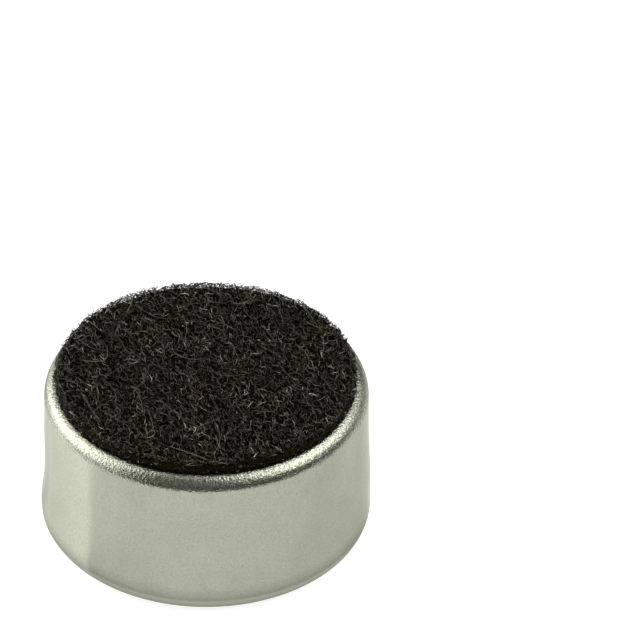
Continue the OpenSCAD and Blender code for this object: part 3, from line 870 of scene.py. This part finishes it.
# finishes for the solids that stay as they are
solidLook = {
    "brass": ((0.62, 0.45, 0.19), (0.48, 0.34, 0.14)), "ringBrass": ((0.60, 0.43, 0.18), (0.47, 0.33, 0.13)),
    "film": ((0.70, 0.71, 0.72), (0.62, 0.63, 0.65)), "copper": ((0.68, 0.32, 0.17), (0.50, 0.22, 0.11)),
    "tinned": ((0.30, 0.30, 0.262), (0.20, 0.20, 0.172)), "tin": ((0.62, 0.62, 0.59), (0.50, 0.50, 0.47)),
    "adhesive": ((0.20, 0.17, 0.10), (0.14, 0.12, 0.07)), "spacer": ((0.72, 0.72, 0.68), (0.64, 0.64, 0.60)),
    "charged": ((0.62, 0.65, 0.68), (0.54, 0.57, 0.60)), "moulded": ((0.72, 0.68, 0.55), (0.64, 0.60, 0.48)),
    "epoxy": ((0.022,) * 3, (0.012,) * 3), "ceramic": ((0.42, 0.29, 0.16), (0.34, 0.23, 0.12)),
    "patches": (4, 0.6), "lines": (3, 0.6), "lineStretch": (1, 0.05, 1), "lineShare": (0.55, 0.75, 0.0, 0.5),
    "finerLines": 6, "finerSkin": 4, "metalVaries": 0.12, "plasticVaries": 0.1,
    "screen": ((0.1, (0.22, 0.17, 0.10)), (0.6, (0.10, 0.075, 0.04))), "strands": 14.0,
    "strandDepth": 0.03, "screenRough": 0.9,
}


def metalFinish(name, colours, rough, perMm=4.0, scratch=0.0015):
    look = solidLook
    bright, dull = solidLook[colours]
    finish, tree, surface = startFinish(name)
    patches = cloud(tree, place(tree), perMm, *look["patches"])
    lines = cloud(tree, place(tree, look["lineStretch"]), perMm * look["finerLines"], *look["lines"])
    tone = blendTones(tree, ranged(tree, patches, *middleTones), dull, bright)
    tone = blendTones(tree, ranged(tree, lines, *look["lineShare"]), tone, dull)
    tree.links.new(tone, surface.inputs["Base Color"])
    surface.inputs["Metallic"].default_value = 1.0
    varied = ranged(tree, patches, *middleTones, rough, rough + look["metalVaries"], False)
    tree.links.new(varied, surface.inputs["Roughness"])
    tree.links.new(relief(tree, lines, scratch), surface.inputs["Normal"])
    return finish


def plasticFinish(name, colours, rough, perMm=6.0, depth=0.003):
    look = solidLook
    light, dark = solidLook[colours]
    finish, tree, surface = startFinish(name)
    plain = place(tree)
    patches = cloud(tree, plain, perMm, *look["patches"])
    tone = blendTones(tree, ranged(tree, patches, *middleTones), dark, light)
    tree.links.new(tone, surface.inputs["Base Color"])
    varied = ranged(tree, patches, *middleTones, rough, rough + look["plasticVaries"], False)
    tree.links.new(varied, surface.inputs["Roughness"])
    skin = cloud(tree, plain, perMm * look["finerSkin"])
    tree.links.new(relief(tree, skin, depth), surface.inputs["Normal"])
    return finish


def wovenFinish():  # porous screen seen through the vents
    look = solidLook
    finish, tree, surface = startFinish("porousScreen")
    strands = cells(tree, place(tree), look["strands"])
    tree.links.new(tones(tree, strands, look["screen"]), surface.inputs["Base Color"])
    surface.inputs["Roughness"].default_value = look["screenRough"]
    tree.links.new(relief(tree, strands, look["strandDepth"]), surface.inputs["Normal"])
    return finish


solidFinishes = {
    "felt_adhesive": plasticFinish("clearAdhesive", "adhesive", 0.35),
    "diaphragm_ring": metalFinish("ringBrass", "ringBrass", 0.25),
    "diaphragm": metalFinish("metallisedFilm", "film", 0.08, 2.0, 0.0004),
    "spacer_ring": plasticFinish("spacerFilm", "spacer", 0.2),
    "electret_film": plasticFinish("chargedFilm", "charged", 0.15),
    "back_plate": metalFinish("plateBrass", "brass", 0.22),
    "holder_ring": plasticFinish("holderMoulding", "moulded", 0.45),
    "contact_ring": metalFinish("contactBrass", "brass", 0.2),
    "vent_screen": wovenFinish(),
    "ground_terminal": metalFinish("tinnedGround", "tinned", 0.24, 8.0, 0.003),
    "output_terminal": metalFinish("tinnedOutput", "tinned", 0.24, 8.0, 0.003),
    "ground_conductor": metalFinish("conductorCopper", "copper", 0.3),
    "gate_track": metalFinish("trackCopper", "copper", 0.3),
    "transistor": plasticFinish("mouldedEpoxy", "epoxy", 0.5, 12.0, 0.004),
    "gate_lead": metalFinish("leadTin", "tin", 0.28),
    "capacitor": plasticFinish("chipCeramic", "ceramic", 0.5, 14.0),
    "inner_solder": solder,
}
alike = {
    "output_conductor": "ground_conductor", "drain_track": "gate_track", "source_track": "gate_track",
    "drain_lead": "gate_lead", "source_lead": "gate_lead", "capacitor_ends": "gate_lead",
}
for name, solid in nodes.items():
    finish = solidFinishes.get(alike.get(name, name))
    if finish is None:
        continue
    if not solid.data.materials:
        solid.data.materials.append(finish)
    for slot in solid.material_slots:
        slot.material = finish
print("solids finished")


# studio: white table that glows a little, and soft panels painted on the surroundings; spans in mm
studioSet = {
    "floorSize": 1.6, "floorTone": (0.36, 0.36, 0.358), "floorGlow": 0.838, "glowTone": (1, 1, 0.995),
    "floorRough": 0.9, "litMiddle": (-25.0, 20.0), "lit": (44, 70), "litFront": (-27, -15), "far": 0.16,
    "opening": (4.34, 4.40), "lean": 2.0, "ambient": 0.16, "backdrop": 1.0, "skyTone": (1.0, 1.0, 0.985),
}
paintedCardSet = {
    "glow": 0.74, "front": -3.43, "soft": 0.10, "reach": (-70.0, -22.0),
    "deep": (9.5, 5.5), "left": (1.0, -3.0),
    "slant": (-10.1, -11.2), "clear": (4.9, 5.45), "dim": 0.45, "more": 0.5, "moreSpan": (-9.0, -13.0),
    "skirt": 0.2, "skirtDeep": 5.0, "skirtSpan": (-4.0, -6.5),
}
paintedFillSet = {
    "glow": 0.24, "side": (4.6, 6.4), "front": (-3.2, 0.6), "slant": (-9.0, -10.8),
    "foot": 0.07, "footSide": (7.2, 5.8), "footFront": (-4.6, -2.6), "footFrom": (3.2, 4.6),
}
# panels: inner and outer are degrees from the middle, above is where it fades out over the horizon
panelSet = (
    {"toward": (-0.80, 0.16, 0.57), "inner": 13, "outer": 31, "power": 2.0, "above": (0.02, 0.18)},
    {"toward": (-0.65, 0.10, 0.75), "inner": 6, "outer": 22, "power": 1.5},
    {"toward": (-0.93, -0.28, 0.22), "inner": 6, "outer": 22, "power": 2.2, "above": (0.02, 0.18)},
    {"toward": (-0.95, 0.12, 0.20), "inner": 6, "outer": 24, "power": 1.2, "above": (-0.02, 0.12)},
    {"toward": (-0.80, 0.55, 0.16), "inner": 14, "outer": 30, "power": 4.1},
    {"toward": (-0.52, 0.42, 0.74), "inner": 12, "outer": 27, "power": 1.5},
    {"toward": (0.48, 0.02, 0.875), "inner": 13, "outer": 28, "power": 2.4},
    {"toward": (0.75, 0.0, 0.66), "inner": 10, "outer": 25, "power": 1.0},
    {"toward": (0.62, -0.30, 0.72), "inner": 6, "outer": 22, "power": 1.7},
    {"toward": (0.52, 0.42, 0.74), "inner": 12, "outer": 27, "power": 2.1},
    {"toward": (0.82, 0.50, 0.28), "inner": 10, "outer": 26, "power": 0.6},
    {"toward": (0.08, 0.50, 0.86), "inner": 12, "outer": 40, "power": 0.4},
    {"toward": (0.0, -0.75, 0.66), "inner": 10, "outer": 35, "power": 0.18},
    {"toward": (0.0, 0.0, -1.0), "inner": 12, "outer": 50, "power": 0.6},
    {"toward": (-0.72, 0.25, -0.62), "inner": 9, "outer": 26, "power": 4.0},
    {"toward": (0.60, -0.58, -0.55), "inner": 8, "outer": 24, "power": 3.0},
)


def lightPool(tree, x, y):  # the light on the table falls off away from the part
    s = studioSet
    across = minus(tree, x, s["litMiddle"][0] * mm)
    beyond = minus(tree, y, s["litMiddle"][1] * mm)
    pool = eased(tree, distance(tree, across, beyond), s["lit"], 1.0, s["far"])
    return times(tree, pool, eased(tree, y, s["litFront"], s["far"], 1.0))


def paintedCardGlow(tree, x, y, radius):  # painted light: a brighter, glowing card painted on the table beside the can, which its wall mirrors
    c = paintedCardSet
    beside = eased(tree, y, (c["front"] - c["soft"], c["front"] + c["soft"]))
    slanted = plus(tree, y, times(tree, x, studioSet["lean"]))
    ahead = eased(tree, slanted, c["slant"])  # it ends short of what the wall mirrors at its outline
    clear = eased(tree, radius, c["clear"])  # and short of the can
    dim = times(tree, minus(tree, 1.0, ahead), c["dim"])  # painted shade: the table's glow is dimmer behind it
    beside = times(tree, beside, minus(tree, times(tree, ahead, clear), dim))
    skirt = eased(tree, y, (c["front"] - c["skirtDeep"], c["front"]), 0.0, c["skirt"])
    skirt = times(tree, skirt, eased(tree, x, c["skirtSpan"]))
    beside = sums(tree, "MAXIMUM", beside, skirt)
    more = eased(tree, x, c["moreSpan"], 1.0, 1 + c["more"])  # its far end is brighter
    near = times(tree, eased(tree, x, c["reach"]), eased(tree, y, c["deep"]), more)
    return times(tree, beside, near, eased(tree, x, c["left"]), c["glow"])


def paintedFillGlow(tree, x, y):  # painted light: a fainter glowing card painted on the other side, and the glow it throws at the can's foot
    c = paintedFillSet
    slanted = minus(tree, y, times(tree, x, studioSet["lean"]))
    lift = times(tree, eased(tree, x, c["side"]), eased(tree, y, c["front"]))
    lift = times(tree, lift, eased(tree, slanted, c["slant"]))
    foot = eased(tree, x, c["footSide"], 0.0, c["foot"])
    foot = times(tree, foot, eased(tree, y, c["footFront"]), eased(tree, x, c["footFrom"]))
    return plus(tree, foot, times(tree, lift, c["glow"]))


def openBelow(tree, surface, radius):  # open under the part and clear from below, to show the rear side
    opening = eased(tree, radius, studioSet["opening"], 1.0, 0.0)
    side = tree.nodes.new("ShaderNodeNewGeometry")
    through = tree.nodes.new("ShaderNodeBsdfTransparent")
    either = tree.nodes.new("ShaderNodeMixShader")
    out = next(n for n in tree.nodes if n.type == "OUTPUT_MATERIAL")
    tree.links.new(sums(tree, "MAXIMUM", side.outputs["Backfacing"], opening), either.inputs["Fac"])
    tree.links.new(surface.outputs["BSDF"], either.inputs[1])
    tree.links.new(through.outputs["BSDF"], either.inputs[2])
    tree.links.new(either.outputs["Shader"], out.inputs["Surface"])


def makeFloor():
    s = studioSet
    half = s["floorSize"] / 2
    corners = [(-half, -half, 0), (half, -half, 0), (half, half, 0), (-half, half, 0)]
    mesh = bpy.data.meshes.new("table")
    mesh.from_pydata(corners, [], [(0, 1, 2, 3)])
    floor = bpy.data.objects.new("table", mesh)
    scene.collection.objects.link(floor)
    finish, tree, surface = startFinish("paleTable")
    x, y, _ = axes(tree)
    radius, _ = axisDistance(tree)
    direct = tree.nodes.new("ShaderNodeLightPath").outputs["Is Camera Ray"]
    pool = sums(tree, "MAXIMUM", lightPool(tree, x, y), direct)  # the table itself looks pale all over
    tree.links.new(blendTones(tree, pool, (0, 0, 0), s["floorTone"]), surface.inputs["Base Color"])
    surface.inputs["Roughness"].default_value = s["floorRough"]
    surface.inputs["Specular IOR Level"].default_value = 0.0
    surface.inputs["Emission Color"].default_value = (*s["glowTone"], 1)
    shine = times(tree, paintedCardGlow(tree, x, y, radius), minus(tree, 1.0, direct))
    glow = plus(tree, times(tree, pool, s["floorGlow"]), shine, paintedFillGlow(tree, x, y))
    tree.links.new(glow, surface.inputs["Emission Strength"])
    openBelow(tree, surface, radius)
    mesh.materials.append(finish)


def panelGlow(tree, view, up, panel):
    dot = tree.nodes.new("ShaderNodeVectorMath")
    dot.operation = "DOT_PRODUCT"
    dot.inputs[1].default_value = Vector(panel["toward"]).normalized()
    tree.links.new(view, dot.inputs[0])
    outer, inner = (math.cos(math.radians(panel[key])) for key in ("outer", "inner"))
    glow = ranged(tree, dot.outputs["Value"], outer, inner, 0.0, panel["power"])
    if "above" in panel:
        glow = times(tree, glow, ranged(tree, up, *panel["above"]))
    return glow


def makeSurroundings():
    world = bpy.data.worlds.new("softStudio")
    scene.world = world
    world.use_nodes = True
    tree = world.node_tree
    tree.nodes.clear()
    out = tree.nodes.new("ShaderNodeOutputWorld")
    back = tree.nodes.new("ShaderNodeBackground")
    tree.links.new(back.outputs["Background"], out.inputs["Surface"])
    view = tree.nodes.new("ShaderNodeTexCoord").outputs["Generated"]
    split = tree.nodes.new("ShaderNodeSeparateXYZ")
    tree.links.new(view, split.inputs["Vector"])
    total = plus(tree, *[panelGlow(tree, view, split.outputs["Z"], panel) for panel in panelSet])
    total = plus(tree, total, studioSet["ambient"])
    direct = tree.nodes.new("ShaderNodeLightPath").outputs["Is Camera Ray"]
    unseen = times(tree, total, minus(tree, 1.0, direct))  # seen directly, the surroundings are plain
    tree.links.new(plus(tree, unseen, times(tree, direct, studioSet["backdrop"])), back.inputs["Strength"])
    back.inputs["Color"].default_value = (*studioSet["skyTone"], 1)


makeFloor()
makeSurroundings()
print("studio lit")
